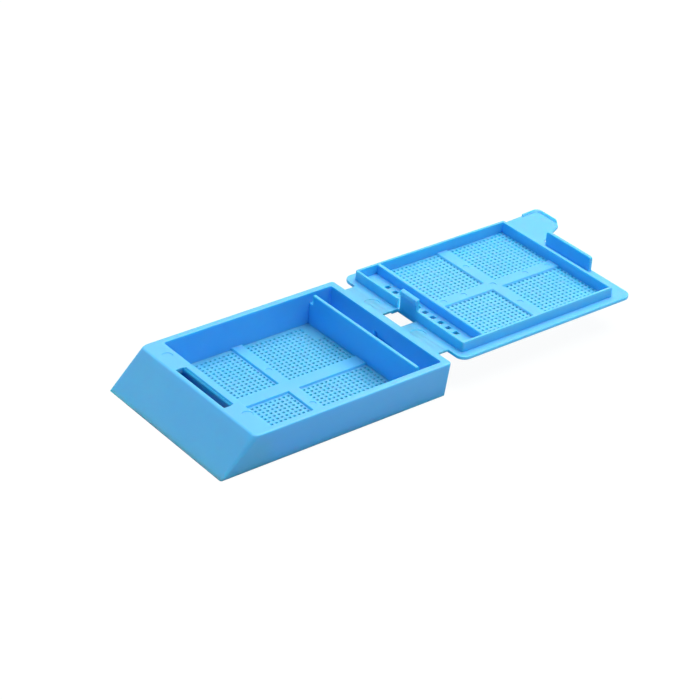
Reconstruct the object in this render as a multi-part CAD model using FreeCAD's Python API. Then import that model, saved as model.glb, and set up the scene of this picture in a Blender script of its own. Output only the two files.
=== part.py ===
import FreeCAD, Part
import math
import os

from FreeCAD import Vector

# Tissue cassette: a one-piece moulding of a tray and a lid, joined by a thin living hinge.
# Lengths are millimetres. +X runs from the sloping label panel to the hinge and on to the open lid,
# +Y across the cassette, +Z up. The origin is the middle of the tray's underside.

# Tray, outside
TRAY_LENGTH = 40.9            # front foot of the label panel to the rear wall's top edge
TRAY_WIDTH = 28.5             # across the side walls at their top
TRAY_HEIGHT = 5.6
SIDE_DRAFT = 0.34             # how far a side wall leans in at its foot
REAR_DRAFT = 0.4
LABEL_RUN = 5.46              # how far the label panel slopes back over the tray's height
REAR_CORNER = 0.6
FRONT_CORNER = 0.95           # at the top; it fades to a crisp corner at the foot
FRONT_FOOT_CORNER = 0.25
EDGE_ROUND = 0.22

# Tray, inside
CAVITY_FRONT = -11.64         # front wall of the specimen compartment
CAVITY_REAR = 19.24           # inner face of the rear wall
CAVITY_HALF_WIDTH = 13.15
CAVITY_DRAFT = 0.06
CAVITY_CORNER = 0.35
FLOOR_TOP = 0.52              # top of the floor's plain ribs
TRAY_MESH_SINK = 0.3          # how far the mesh fields lie below the ribs
LID_MESH_SINK = 0.26
MESH_BEVEL = 0.14             # lean of the step round a mesh field
MESH_MARGIN = 0.15            # between a mesh field and the wall beside it

# Partition between the specimen compartment and the rear channel
PARTITION_X = 15.43
PARTITION_TOP_THICKNESS = 0.55
PARTITION_FOOT_THICKNESS = 0.75
PARTITION_TOP = 5.55
PARTITION_TOP_ROUND = 0.17
PARTITION_HALF_WIDTH = 12.3   # above the notches that the lid's side rims drop into
NOTCH_FLOOR = 3.92

# Front ledge and the hollow under the label panel
SHELL = 0.9                   # wall thickness of panel, ledge and side cheeks
SLOT_FRONT = -14.44
SLOT_WIDTH = 1.37
SLOT_HALF_LENGTH = 6.0
SLOT_CORNER = 0.2
SLOT_REAR_ROUND = 0.4         # soft lead-in along the slot's rear edge

# Catch pocket for the hook, in the rear wall's inner face
CATCH_DEPTH = 0.45
CATCH_HALF_WIDTH = 2.2
CATCH_LOW = 1.9
CATCH_HIGH = 3.15

# Living hinge
HINGE_X = 21.24               # bend line
STRAP_THICKNESS = 0.35
STRAP_HALF_WIDTH = 11.05
STRAP_END = 22.32             # where the strap thickens into the lid plate
WINDOW_START = 20.52
WINDOW_END = 23.55
WINDOW_HALF_WIDTH = 2.2

# Lid plate
PLATE_THICKNESS = 0.6
PLATE_HALF_WIDTH = 14.25
PLATE_END = 57.02
PLATE_CORNER = 1.5
PLATE_TOP_BEVEL = 0.1
PLATE_FOOT_BEVEL = 0.2

# Thumb tab at the far front corner of the lid
TAB_ROOT_FAR = 54.7
TAB_ROOT_NEAR = 6.3
TAB_ROOT_ROUND = 1.0          # plan radii, from the far root round to the near one
TAB_TIP_ROUND = 1.1
TAB_NOSE_ROUND = 1.5
TAB_SIDE_ROUND = 0.8
TAB_NOTCH_ROUND = 0.3
TAB_NOSE = 63.3
TAB_NOSE_LENGTH = 4.5         # straight part of the nose, from the tip
TAB_NOSE_SLANT = 0.75         # how far the nose falls back on the near side
TAB_FAR_Y = 14.72
TAB_NEAR_Y = 8.75
TAB_LIP_HEIGHT = 0.35
TAB_LIP_WIDTH = 0.45
TAB_LIP_START = 59.7
TAB_LIP_REACH = 1.3           # how far the nose's lip reaches back on the near side

# Lid rim frame and cross rib
RIM_FRONT = 23.49             # hinge-side outer face
RIM_END = 53.95
RIM_HALF_WIDTH = 12.83
RIM_HEIGHT = 1.61
RIM_THICKNESS = 0.45
RIM_DRAFT = 0.05
RIM_CORNER = 0.32
RIM_INNER_CORNER = 0.15
RIM_TOP_ROUND = 0.13
RIM_GAP_HALF_WIDTH = 2.5      # break in the hinge-side rim, where the hook stands
LID_RIB_X = 27.57
LID_RIB_THICKNESS = 0.6

# Hook and latch
HOOK_HALF_WIDTH = 1.9
HOOK_TOP = 9.1
HOOK_LIP_X = 23.27
HOOK_LEAD = 0.25              # drop of the sloping top from its back to the lip's edge
HOOK_LIP_HEIGHT = 0.55        # upright front of the lip
HOOK_LIP_RISE = 0.25          # slope of the lip's underside
HOOK_SHOULDER = 0.1           # bevel at the top of the back
HOOK_THICKNESS = 0.55
LATCH_X = 56.28
LATCH_THICKNESS = 0.55
LATCH_HALF_WIDTH = 5.1
LATCH_HEIGHT = 2.44
LATCH_CHAMFER = 0.4

# Vent holes behind the partition line, in the lid and in the channel floor
VENT_PITCH = 1.79
VENT_COUNT = 10
VENT_SIZE = 0.8
LID_VENT_X = 26.34

# Plain ribs that part the mesh fields, across and along the cassette
TRAY_CROSS_RIB = (0.68, 2.45)
TRAY_LONG_RIB_HALF_WIDTH = 1.17
LID_CROSS_RIB = (39.79, 41.65)
LID_LONG_RIB_HALF_WIDTH = 1.0

# Holes of the mesh, in every field alike
HOLE_PITCH = 1.63
HOLE_COUNT = 7                # along a field and across it
HOLE_SIZE = 0.8
PLAIN_CORNER = (12.3, 8.9)    # past this x and y the tray's floor has no holes

# Modelling
CLEAR = 1.0                   # how far a cutting shape reaches past the surface it cuts
LEVEL_TOLERANCE = 1e-4

HALF_LENGTH = TRAY_LENGTH / 2
HALF_WIDTH = TRAY_WIDTH / 2
PLATE_TOP = TRAY_HEIGHT
PLATE_BOTTOM = PLATE_TOP - PLATE_THICKNESS
STRAP_BOTTOM = PLATE_TOP - STRAP_THICKNESS
RIM_TOP = PLATE_TOP + RIM_HEIGHT
CHANNEL_VENT_X = (PARTITION_X + CAVITY_REAR) / 2


def block(x_low, x_high, y_low, y_high, z_low, z_high):
    """A plain box between two corners."""
    corner = Vector(x_low, y_low, z_low)
    return Part.makeBox(x_high - x_low, y_high - y_low, z_high - z_low, corner)


def flat_face(points):
    """A flat face with straight edges through the points."""
    return Part.Face(Part.makePolygon(points + points[:1]))


def frustum(low, z_low, high, z_high):
    """A solid with flat sides between two level outlines that have as many (x, y) corners each."""
    bottom = [Vector(x, y, z_low) for x, y in low]
    top = [Vector(x, y, z_high) for x, y in high]
    faces = [flat_face(bottom[::-1]), flat_face(top)]
    for index in range(len(bottom)):
        before = index - 1
        faces.append(flat_face([bottom[before], bottom[index], top[index], top[before]]))
    return Part.makeSolid(Part.Shell(faces))


def rectangle(x_low, x_high, y_low, y_high, inset=0.0):
    """The (x, y) corners of a rectangle, counter-clockwise, moved in by the inset."""
    return [(x_low + inset, y_low + inset), (x_high - inset, y_low + inset),
            (x_high - inset, y_high - inset), (x_low + inset, y_high - inset)]


def rising_edges(solid):
    """The edges that are not level: the corners between the side faces."""
    return [edge for edge in solid.Edges if edge.BoundBox.ZLength > LEVEL_TOLERANCE]


def round_corners(solid, radius):
    """Rounds the corners between the side faces."""
    return solid.makeFillet(radius, rising_edges(solid))


def outline(corners, z):
    """A closed wire at height z; each corner is (x, y, radius), counter-clockwise."""
    edges = []
    rounded = []
    count = len(corners)
    for index, (x, y, radius) in enumerate(corners):
        here = Vector(x, y, z)
        before = Vector(*corners[index - 1][:2], z)
        after = Vector(*corners[(index + 1) % count][:2], z)
        back = (before - here).normalize()
        ahead = (after - here).normalize()
        half_angle = back.getAngle(ahead) / 2
        reach = radius / math.tan(half_angle)
        inward = (back + ahead).normalize()
        centre = here + inward * (radius / math.sin(half_angle))
        rounded.append((here + back * reach, centre - inward * radius, here + ahead * reach))
    for index, (start, middle, end) in enumerate(rounded):
        next_start = rounded[(index + 1) % count][0]
        edges.append(Part.Arc(start, middle, end).toShape())
        edges.append(Part.LineSegment(end, next_start).toShape())
    return Part.Wire(edges)


def plate(corners, z_low, z_high):
    """A flat plate of an outline's shape."""
    face = Part.Face(outline(corners, z_low))
    return face.extrude(Vector(0, 0, z_high - z_low))


def profile_across(points, y_low, y_high):
    """A closed (x, z) profile carried across the cassette."""
    face = flat_face([Vector(x, y_low, z) for x, z in points])
    return face.extrude(Vector(0, y_high - y_low, 0))


def profile_along(points, x_low, x_high):
    """A closed (y, z) profile carried along the cassette."""
    face = flat_face([Vector(x_low, y, z) for y, z in points])
    return face.extrude(Vector(x_high - x_low, 0, 0))


def level_edges(solid, z):
    """The edges that lie at height z."""
    edges = []
    for edge in solid.Edges:
        box = edge.BoundBox
        if max(abs(box.ZMin - z), abs(box.ZMax - z)) < LEVEL_TOLERANCE:
            edges.append(edge)
    return edges


def round_level_edges(solid, z, radius):
    """Rounds every edge that lies at height z."""
    return solid.makeFillet(radius, level_edges(solid, z))


def vent_row(x, z_low, z_high):
    """Square holes in a row across the cassette, mirrored about its middle."""
    holes = []
    first = -VENT_PITCH * (VENT_COUNT - 1) / 2
    half = VENT_SIZE / 2
    for index in range(VENT_COUNT):
        y = first + index * VENT_PITCH
        holes.append(block(x - half, x + half, y - half, y + half, z_low, z_high))
    return holes


def hole_places(low, high):
    """The middles of a row of mesh holes, centred between two limits."""
    first = (low + high - HOLE_PITCH * (HOLE_COUNT - 1)) / 2
    return [first + index * HOLE_PITCH for index in range(HOLE_COUNT)]


def mesh_holes(x_spans, y_inner, y_outer, z_low, z_high, plain_corner=None):
    """The square holes of four mesh fields, apart from those past the plain corner."""
    holes = []
    half = HOLE_SIZE / 2
    rows = hole_places(y_inner, y_outer)
    rows += [-y for y in rows]
    for x_low, x_high in x_spans:
        for x in hole_places(x_low, x_high):
            for y in rows:
                if plain_corner and x > plain_corner[0] and y > plain_corner[1]:
                    continue
                holes.append(block(x - half, x + half, y - half, y + half, z_low, z_high))
    return holes


def mesh_pocket(x_low, x_high, y_low, y_high, top, sink):
    """The shallow bevelled recess that holds one field of the mesh."""
    rim = rectangle(x_low, x_high, y_low, y_high)
    foot = rectangle(x_low, x_high, y_low, y_high, MESH_BEVEL)
    return frustum(foot, top - sink, rim, top)


def mesh_pockets(x_spans, y_inner, y_outer, top, sink):
    """Four recesses, two on each side of the middle."""
    pockets = []
    for x_low, x_high in x_spans:
        pockets.append(mesh_pocket(x_low, x_high, y_inner, y_outer, top, sink))
        pockets.append(mesh_pocket(x_low, x_high, -y_outer, -y_inner, top, sink))
    return pockets


def tray_body():
    """The outside of the tray, sloped at the front and drafted all round."""
    foot_y = HALF_WIDTH - SIDE_DRAFT
    foot = rectangle(-HALF_LENGTH, HALF_LENGTH - REAR_DRAFT, -foot_y, foot_y)
    top = rectangle(LABEL_RUN - HALF_LENGTH, HALF_LENGTH, -HALF_WIDTH, HALF_WIDTH)
    body = frustum(foot, 0, top, TRAY_HEIGHT)
    rear = [edge for edge in rising_edges(body) if edge.CenterOfMass.x > 0]
    body = body.makeFillet(REAR_CORNER, rear)
    for side in (-1, 1):
        front = [edge for edge in rising_edges(body)
                 if edge.CenterOfMass.x < 0 and edge.CenterOfMass.y * side > 0]
        body = body.makeFillet(*front_corner_radii(front[0]), front)
    return round_level_edges(body, TRAY_HEIGHT, EDGE_ROUND)


def front_corner_radii(edge):
    """The corner radius at the edge's first end and at its last."""
    if edge.valueAt(edge.FirstParameter).z < edge.valueAt(edge.LastParameter).z:
        return FRONT_FOOT_CORNER, FRONT_CORNER
    return FRONT_CORNER, FRONT_FOOT_CORNER


def tray_cavity():
    """The space inside the walls, from the floor up."""
    high = rectangle(CAVITY_FRONT, CAVITY_REAR, -CAVITY_HALF_WIDTH, CAVITY_HALF_WIDTH)
    low = rectangle(CAVITY_FRONT, CAVITY_REAR, -CAVITY_HALF_WIDTH, CAVITY_HALF_WIDTH, CAVITY_DRAFT)
    return round_corners(frustum(low, FLOOR_TOP, high, TRAY_HEIGHT), CAVITY_CORNER)


def label_hollow():
    """The open space under the label panel and the ledge."""
    slope_length = math.hypot(LABEL_RUN, TRAY_HEIGHT)
    inset = SHELL * slope_length / TRAY_HEIGHT
    top = TRAY_HEIGHT - SHELL
    front_low = -HALF_LENGTH + inset - CLEAR * LABEL_RUN / TRAY_HEIGHT
    front_high = -HALF_LENGTH + inset + top * LABEL_RUN / TRAY_HEIGHT
    rear = CAVITY_FRONT - SHELL
    half = HALF_WIDTH - SIDE_DRAFT - SHELL
    points = [(front_low, -CLEAR), (rear, -CLEAR), (rear, top), (front_high, top)]
    return profile_across(points, -half, half)


def latch_slot():
    """The slot through the ledge that takes the lid's latch."""
    slot = block(SLOT_FRONT, SLOT_FRONT + SLOT_WIDTH, -SLOT_HALF_LENGTH, SLOT_HALF_LENGTH,
                 TRAY_HEIGHT - SHELL - CLEAR, TRAY_HEIGHT + CLEAR)
    return round_corners(slot, SLOT_CORNER)


def slot_lead_in():
    """What the soft rear edge of the slot takes off the ledge."""
    rear = SLOT_FRONT + SLOT_WIDTH
    radius = SLOT_REAR_ROUND
    low = TRAY_HEIGHT - radius
    half = SLOT_HALF_LENGTH - SLOT_CORNER
    corner = block(rear - CLEAR, rear + radius, -half, half, low, TRAY_HEIGHT + CLEAR)
    bar = Part.makeCylinder(radius, half * 2, Vector(rear + radius, -half, low), Vector(0, 1, 0))
    return corner.cut(bar)


def partition():
    """The thin cross wall, stepped down at both ends for the lid's side rims."""
    top = PARTITION_TOP_THICKNESS / 2
    foot = PARTITION_FOOT_THICKNESS / 2
    low = FLOOR_TOP / 2
    reach = CAVITY_HALF_WIDTH + SHELL / 2
    points = [(PARTITION_X - foot, low), (PARTITION_X + foot, low),
              (PARTITION_X + top, PARTITION_TOP), (PARTITION_X - top, PARTITION_TOP)]
    wall = profile_across(points, -reach, reach)
    wall = round_level_edges(wall, PARTITION_TOP, PARTITION_TOP_ROUND)
    notches = []
    for side in (-1, 1):
        y_low, y_high = sorted((side * PARTITION_HALF_WIDTH, side * (reach + CLEAR)))
        notches.append(block(PARTITION_X - CLEAR, PARTITION_X + CLEAR, y_low, y_high,
                             NOTCH_FLOOR, TRAY_HEIGHT))
    return wall.cut(notches)


def strap(x_low, x_high):
    """A length of the hinge strap, with its share of the window cut out."""
    web = block(x_low, x_high, -STRAP_HALF_WIDTH, STRAP_HALF_WIDTH, STRAP_BOTTOM, PLATE_TOP)
    return web.cut(strap_window())


def strap_window():
    """The window under the hook's lip."""
    return block(WINDOW_START, WINDOW_END, -WINDOW_HALF_WIDTH, WINDOW_HALF_WIDTH,
                 PLATE_BOTTOM - CLEAR, PLATE_TOP + CLEAR)


def tray():
    """The tray, with its half of the hinge strap."""
    solid = tray_body().cut(tray_cavity())
    wall_y = CAVITY_HALF_WIDTH - CAVITY_DRAFT - MESH_MARGIN
    field_front = CAVITY_FRONT + CAVITY_DRAFT + MESH_MARGIN
    field_rear = PARTITION_X - PARTITION_FOOT_THICKNESS / 2 - MESH_MARGIN
    spans = [(field_front, TRAY_CROSS_RIB[0]), (TRAY_CROSS_RIB[1], field_rear)]
    cuts = mesh_pockets(spans, TRAY_LONG_RIB_HALF_WIDTH, wall_y, FLOOR_TOP, TRAY_MESH_SINK)
    cuts.extend(mesh_holes(spans, TRAY_LONG_RIB_HALF_WIDTH, wall_y, -CLEAR, FLOOR_TOP, PLAIN_CORNER))
    cuts.append(label_hollow())
    cuts.extend([latch_slot(), slot_lead_in()])
    cuts.append(block(CAVITY_REAR - CLEAR, CAVITY_REAR + CATCH_DEPTH,
                      -CATCH_HALF_WIDTH, CATCH_HALF_WIDTH, CATCH_LOW, CATCH_HIGH))
    cuts.extend(vent_row(CHANNEL_VENT_X, -CLEAR, FLOOR_TOP + CLEAR))
    solid = solid.cut(cuts)
    solid = solid.fuse([partition(), strap(HALF_LENGTH - SHELL / 2, HINGE_X)])
    return solid.removeSplitter()


def lid_outline():
    """The lid plate's outline, with the thumb tab at its far front corner."""
    half = PLATE_HALF_WIDTH
    return [(STRAP_END, -half, PLATE_CORNER),
            (PLATE_END, -half, PLATE_CORNER),
            (PLATE_END, TAB_ROOT_NEAR, TAB_NOTCH_ROUND),
            (TAB_NOSE - TAB_NOSE_SLANT, TAB_NEAR_Y, TAB_SIDE_ROUND),
            (TAB_NOSE, TAB_FAR_Y - TAB_NOSE_LENGTH, TAB_NOSE_ROUND),
            (TAB_NOSE, TAB_FAR_Y, TAB_TIP_ROUND),
            (TAB_ROOT_FAR, half, TAB_ROOT_ROUND),
            (STRAP_END, half, PLATE_CORNER)]


def tab_lip():
    """The low raised edge round the thumb tab's outer sides."""
    face = Part.Face(outline(lid_outline(), PLATE_TOP - PLATE_THICKNESS / 2))
    ring = face.cut(face.makeOffset2D(-TAB_LIP_WIDTH))
    wall = ring.extrude(Vector(0, 0, TAB_LIP_HEIGHT + PLATE_THICKNESS / 2))
    x_high = TAB_NOSE + CLEAR
    y_high = TAB_FAR_Y + CLEAR
    far_side = block(TAB_LIP_START, x_high, TAB_FAR_Y - TAB_NOSE_ROUND, y_high, PLATE_BOTTOM, RIM_TOP)
    nose = block(TAB_NOSE - TAB_LIP_REACH, x_high, TAB_NEAR_Y - CLEAR, y_high, PLATE_BOTTOM, RIM_TOP)
    return wall.common(far_side.fuse(nose))


def rim_outline(inset):
    """The rim frame's outline, moved in from its outer face."""
    return rectangle(RIM_FRONT, RIM_END, -RIM_HALF_WIDTH, RIM_HALF_WIDTH, inset)


def rim_frame():
    """The raised frame that drops into the tray, broken where the hook stands."""
    root = PLATE_TOP - PLATE_THICKNESS / 2
    outside = frustum(rim_outline(0), root, rim_outline(RIM_DRAFT), RIM_TOP)
    inside = frustum(rim_outline(RIM_THICKNESS), root, rim_outline(RIM_THICKNESS - RIM_DRAFT), RIM_TOP)
    frame = round_corners(outside, RIM_CORNER).cut(round_corners(inside, RIM_INNER_CORNER))
    frame = round_level_edges(frame, RIM_TOP, RIM_TOP_ROUND)
    gap = block(RIM_FRONT - CLEAR, RIM_FRONT + RIM_THICKNESS * 2, -RIM_GAP_HALF_WIDTH, RIM_GAP_HALF_WIDTH,
                PLATE_TOP, RIM_TOP + CLEAR)
    return frame.cut(gap)


def lid_cross_rib():
    """The rib that runs beside the vent row, from one side rim to the other."""
    reach = RIM_HALF_WIDTH - RIM_THICKNESS / 2
    low = PLATE_TOP - PLATE_THICKNESS / 2
    rib = block(LID_RIB_X, LID_RIB_X + LID_RIB_THICKNESS, -reach, reach, low, RIM_TOP)
    return round_level_edges(rib, RIM_TOP, RIM_TOP_ROUND)


def hook():
    """The upright hook; its lip points at the tray, over the window."""
    back = WINDOW_END + HOOK_THICKNESS
    lip_high = HOOK_TOP - HOOK_LEAD
    lip_low = lip_high - HOOK_LIP_HEIGHT
    points = [(WINDOW_END, PLATE_BOTTOM), (back, PLATE_BOTTOM), (back, HOOK_TOP - HOOK_SHOULDER),
              (back - HOOK_SHOULDER, HOOK_TOP), (HOOK_LIP_X, lip_high), (HOOK_LIP_X, lip_low),
              (WINDOW_END, lip_low - HOOK_LIP_RISE)]
    return profile_across(points, -HOOK_HALF_WIDTH, HOOK_HALF_WIDTH)


def latch():
    """The upright tongue at the lid's front edge, with its top corners taken off."""
    half = LATCH_HALF_WIDTH
    top = PLATE_TOP + LATCH_HEIGHT
    cut = LATCH_CHAMFER
    low = PLATE_TOP - PLATE_THICKNESS / 2
    points = [(-half, low), (half, low), (half, top - cut), (half - cut, top),
              (cut - half, top), (-half, top - cut)]
    return profile_along(points, LATCH_X, LATCH_X + LATCH_THICKNESS)


def lid():
    """The lid, open and level beside the tray, with its half of the hinge strap."""
    body = plate(lid_outline(), PLATE_BOTTOM, PLATE_TOP)
    body = body.makeChamfer(PLATE_TOP_BEVEL, level_edges(body, PLATE_TOP))
    body = body.makeChamfer(PLATE_FOOT_BEVEL, level_edges(body, PLATE_BOTTOM))
    field_front = LID_RIB_X + LID_RIB_THICKNESS + MESH_MARGIN
    field_end = RIM_END - RIM_THICKNESS - RIM_DRAFT
    wall_y = RIM_HALF_WIDTH - RIM_THICKNESS - RIM_DRAFT
    spans = [(field_front, LID_CROSS_RIB[0]), (LID_CROSS_RIB[1], field_end)]
    cuts = mesh_pockets(spans, LID_LONG_RIB_HALF_WIDTH, wall_y, PLATE_TOP, LID_MESH_SINK)
    cuts.extend(mesh_holes(spans, LID_LONG_RIB_HALF_WIDTH, wall_y, PLATE_BOTTOM - CLEAR, PLATE_TOP))
    cuts.extend(vent_row(LID_VENT_X, PLATE_BOTTOM - CLEAR, PLATE_TOP + CLEAR))
    cuts.append(strap_window())
    body = body.cut(cuts)
    web = strap(HINGE_X, STRAP_END + PLATE_CORNER)
    pieces = [web, rim_frame(), lid_cross_rib(), hook(), latch(), tab_lip()]
    return body.fuse(pieces).removeSplitter()


def main():
    """Builds both halves and writes them out."""
    os.makedirs("parts", exist_ok=True)
    for name, solid in (("tray", tray()), ("lid", lid())):
        print(name, solid.ShapeType, len(solid.Solids), solid.isValid(), round(solid.Volume, 1))
        solid.exportStep("parts/" + name + ".step")


main()
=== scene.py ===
"""A moulded tissue cassette, lying open on a pale studio floor.

The cassette is one moulding: a perforated tray with a sloping label panel, a perforated lid with a
hook and a latch, and the thin strap that joins them. Sizes in the classes are in millimetres, in the
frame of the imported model: +X from the label panel to the open lid, +Y to the thumb tab's side, +Z up.
"""

import logging
import math
from contextlib import contextmanager
from dataclasses import dataclass
from enum import Enum
from itertools import product
from typing import Callable, ClassVar, Iterator

import bmesh
import bpy
from mathutils import Matrix, Vector


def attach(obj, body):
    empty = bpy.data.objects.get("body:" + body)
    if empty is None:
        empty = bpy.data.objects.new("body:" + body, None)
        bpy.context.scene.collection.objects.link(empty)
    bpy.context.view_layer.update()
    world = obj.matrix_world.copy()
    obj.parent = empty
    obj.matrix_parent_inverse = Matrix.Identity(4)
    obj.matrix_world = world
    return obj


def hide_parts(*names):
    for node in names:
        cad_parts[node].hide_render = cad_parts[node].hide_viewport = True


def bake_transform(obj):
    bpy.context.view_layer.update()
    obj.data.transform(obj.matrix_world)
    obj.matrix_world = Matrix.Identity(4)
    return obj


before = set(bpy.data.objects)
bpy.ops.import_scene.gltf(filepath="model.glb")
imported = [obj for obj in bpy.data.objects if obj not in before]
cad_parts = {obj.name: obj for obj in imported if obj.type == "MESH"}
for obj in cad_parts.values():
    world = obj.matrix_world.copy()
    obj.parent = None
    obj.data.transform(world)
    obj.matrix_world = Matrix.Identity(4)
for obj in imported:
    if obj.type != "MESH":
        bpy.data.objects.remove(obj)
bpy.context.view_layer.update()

MM = 0.001
HAIR = 0.004   # how far an overlapping skin is held back, so that two surfaces never share a plane
CLEAR = 1.0    # how far a cutter reaches past the surface it cuts
NEAR = 0.01    # how close to a face a point counts as lying on it
FINE = 0.001   # the same, where faces stand close together
SHARP = 35     # edges that turn by more degrees than this are rounded by ease
SMOOTH = 40    # edges that turn by fewer degrees than this are shaded smooth
SORTING_PLACE = (0.311, 0.173, 0.237)   # off every plane of symmetry, so that no distances tie
LOG = logging.getLogger("cassette")

Point = tuple[float, float, float]
Test = Callable[[Vector], bool]
EdgeTest = Callable[[Vector, Vector], bool]


class Solver(Enum):
    """How two shapes are combined."""

    CUT = "DIFFERENCE"
    JOIN = "UNION"


@dataclass(frozen=True)
class Span:
    """A length along one axis, in millimetres."""

    low: float
    high: float

    @property
    def middle(self) -> float:
        """The place half way along."""
        return (self.low + self.high) / 2

    def grown(self, amount: float) -> "Span":
        """The span with both ends moved out."""
        return Span(self.low - amount, self.high + amount)

    def mirrored(self) -> "Span":
        """The span on the other side of zero."""
        return Span(-self.high, -self.low)

    def holds(self, value: float, margin: float = FINE) -> bool:
        """Whether a place lies in the span or within a margin of it."""
        return self.low - margin <= value <= self.high + margin


def across(half: float) -> Span:
    """The span of that half width about the middle."""
    return Span(-half, half)


class Shape:
    """One mesh on the workbench. Places and lengths are given in millimetres."""

    def __init__(self, obj: bpy.types.Object) -> None:
        self.obj = obj
        self.sorted = False

    @classmethod
    def block(cls, name: str, x: Span, y: Span, z: Span) -> "Shape":
        """Starts a shape as a block between two corners.

        Args:
            name: the object's name.
            x: reach along the cassette.
            y: reach across it.
            z: reach upwards.

        Returns:
            The new shape.
        """
        bpy.ops.object.select_all(action="DESELECT")
        bpy.ops.mesh.primitive_cube_add(size=1, location=Vector((x.middle, y.middle, z.middle)) * MM)
        obj = bpy.context.object
        obj.name = name
        obj.scale = Vector((x.high - x.low, y.high - y.low, z.high - z.low)) * MM
        bpy.ops.object.transform_apply(location=True, rotation=True, scale=True)
        return cls(obj)

    @classmethod
    def post(cls, name: str, place: Point, radius: float, height: float, sides: int) -> "Shape":
        """Starts a shape as an upright round post whose foot is at a place.

        Args:
            name: the object's name.
            place: the middle of the foot.
            radius: the post's radius.
            height: the post's height.
            sides: how many flat sides stand for the round.

        Returns:
            The new shape.
        """
        bpy.ops.object.select_all(action="DESELECT")
        middle = Vector(place) + Vector((0, 0, height / 2))
        bpy.ops.mesh.primitive_cylinder_add(
            vertices=sides, radius=radius * MM, depth=height * MM, location=middle * MM
        )
        obj = bpy.context.object
        obj.name = name
        bpy.ops.object.transform_apply(location=True, rotation=True, scale=True)
        return cls(obj)

    def activate(self) -> None:
        """Makes this the only selected and the active object."""
        bpy.ops.object.select_all(action="DESELECT")
        self.obj.select_set(True)
        bpy.context.view_layer.objects.active = self.obj

    @contextmanager
    def editing(self, kind: str) -> Iterator[bmesh.types.BMesh]:
        """Opens the mesh in edit mode with nothing selected.

        Args:
            kind: what is selected next, VERT, EDGE or FACE.

        Yields:
            The mesh being edited.
        """
        self.activate()
        bpy.ops.object.mode_set(mode="EDIT")
        bpy.ops.mesh.select_mode(type=kind)
        bpy.ops.mesh.select_all(action="DESELECT")
        yield bmesh.from_edit_mesh(self.obj.data)
        bpy.ops.object.mode_set(mode="OBJECT")

    def pick_vertices(self, mesh: bmesh.types.BMesh, test: Test) -> None:
        """Selects the vertices that pass a test of their place."""
        for vertex in mesh.verts:
            vertex.select_set(test(vertex.co / MM))
        mesh.select_flush(True)
        bmesh.update_edit_mesh(self.obj.data)

    def pick_edges(self, mesh: bmesh.types.BMesh, test: EdgeTest) -> None:
        """Selects the edges that pass a test of their middle and direction."""
        for edge in mesh.edges:
            start, end = (vertex.co / MM for vertex in edge.verts)
            edge.select_set(test((start + end) / 2, (end - start).normalized()))
        bmesh.update_edit_mesh(self.obj.data)

    def pick_faces(self, mesh: bmesh.types.BMesh, test: EdgeTest) -> None:
        """Selects the faces that pass a test of their middle and normal."""
        for face in mesh.faces:
            face.select_set(test(face.calc_center_median() / MM, face.normal))
        bmesh.update_edit_mesh(self.obj.data)

    def move(self, test: Test, offset: Point) -> "Shape":
        """Moves the vertices that pass a test.

        Args:
            test: picks vertices by their place.
            offset: how far they move.

        Returns:
            The shape itself.
        """
        with self.editing("VERT") as mesh:
            self.pick_vertices(mesh, test)
            bpy.ops.transform.translate(value=Vector(offset) * MM)
        return self

    def gather(self, test: Test, factors: Point, centre: Point) -> "Shape":
        """Scales the vertices that pass a test about a centre.

        Args:
            test: picks vertices by their place.
            factors: the scale along each axis.
            centre: the place that stays where it is.

        Returns:
            The shape itself.
        """
        with self.editing("VERT") as mesh:
            self.pick_vertices(mesh, test)
            bpy.ops.transform.resize(value=factors, center_override=Vector(centre) * MM)
        return self

    def bevel(self, test: EdgeTest, width: float, segments: int) -> "Shape":
        """Rounds the edges that pass a test.

        Args:
            test: picks edges by their middle and direction.
            width: how far the rounding reaches from the edge.
            segments: how many faces make it up.

        Returns:
            The shape itself.
        """
        with self.editing("EDGE") as mesh:
            self.pick_edges(mesh, test)
            bpy.ops.mesh.bevel(offset=width * MM, segments=segments, affect="EDGES")
        return self

    def extrude(self, test: EdgeTest, offset: Point, factors: Point = (1, 1, 1)) -> "Shape":
        """Draws out the faces that pass a test, and scales their far end.

        Args:
            test: picks faces by their middle and normal.
            offset: how far the faces go.
            factors: the scale of the new end about its own middle.

        Returns:
            The shape itself.
        """
        with self.editing("FACE") as mesh:
            self.pick_faces(mesh, test)
            bpy.ops.mesh.extrude_region_move(TRANSFORM_OT_translate={"value": Vector(offset) * MM})
            if factors != (1, 1, 1):
                bpy.ops.transform.resize(value=factors)
        return self

    def slice(self, place: Point, normal: Point) -> "Shape":
        """Cuts a new ring of edges where a plane meets the shape, and removes nothing."""
        with self.editing("FACE"):
            bpy.ops.mesh.select_all(action="SELECT")
            bpy.ops.mesh.bisect(plane_co=Vector(place) * MM, plane_no=normal)
        return self

    def modify(self, kind: str, **settings: object) -> "Shape":
        """Adds one modifier and applies it.

        Args:
            kind: the modifier's type.
            **settings: values of the modifier, lengths in metres.

        Returns:
            The shape itself.
        """
        self.activate()
        modifier = self.obj.modifiers.new(kind.title(), kind)
        for key, value in settings.items():
            setattr(modifier, key, value)
        bpy.ops.object.modifier_apply(modifier=modifier.name)
        return self

    def combine(self, solver: Solver, others: tuple["Shape", ...]) -> "Shape":
        """Uses up other shapes, by cutting them away or joining them on.

        Args:
            solver: which of the two.
            others: the shapes, in the order in which they are used.

        Returns:
            The shape itself.
        """
        for other in others:
            self.modify("BOOLEAN", object=other.obj, operation=solver.value, solver="EXACT")
            other.discard()
            if self.sorted:
                self.sort()
        return self

    def cut(self, *others: "Shape") -> "Shape":
        """Cuts other shapes away."""
        return self.combine(Solver.CUT, others)

    def fuse(self, *others: "Shape") -> "Shape":
        """Joins other shapes on, as one skin."""
        return self.combine(Solver.JOIN, others)

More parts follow.
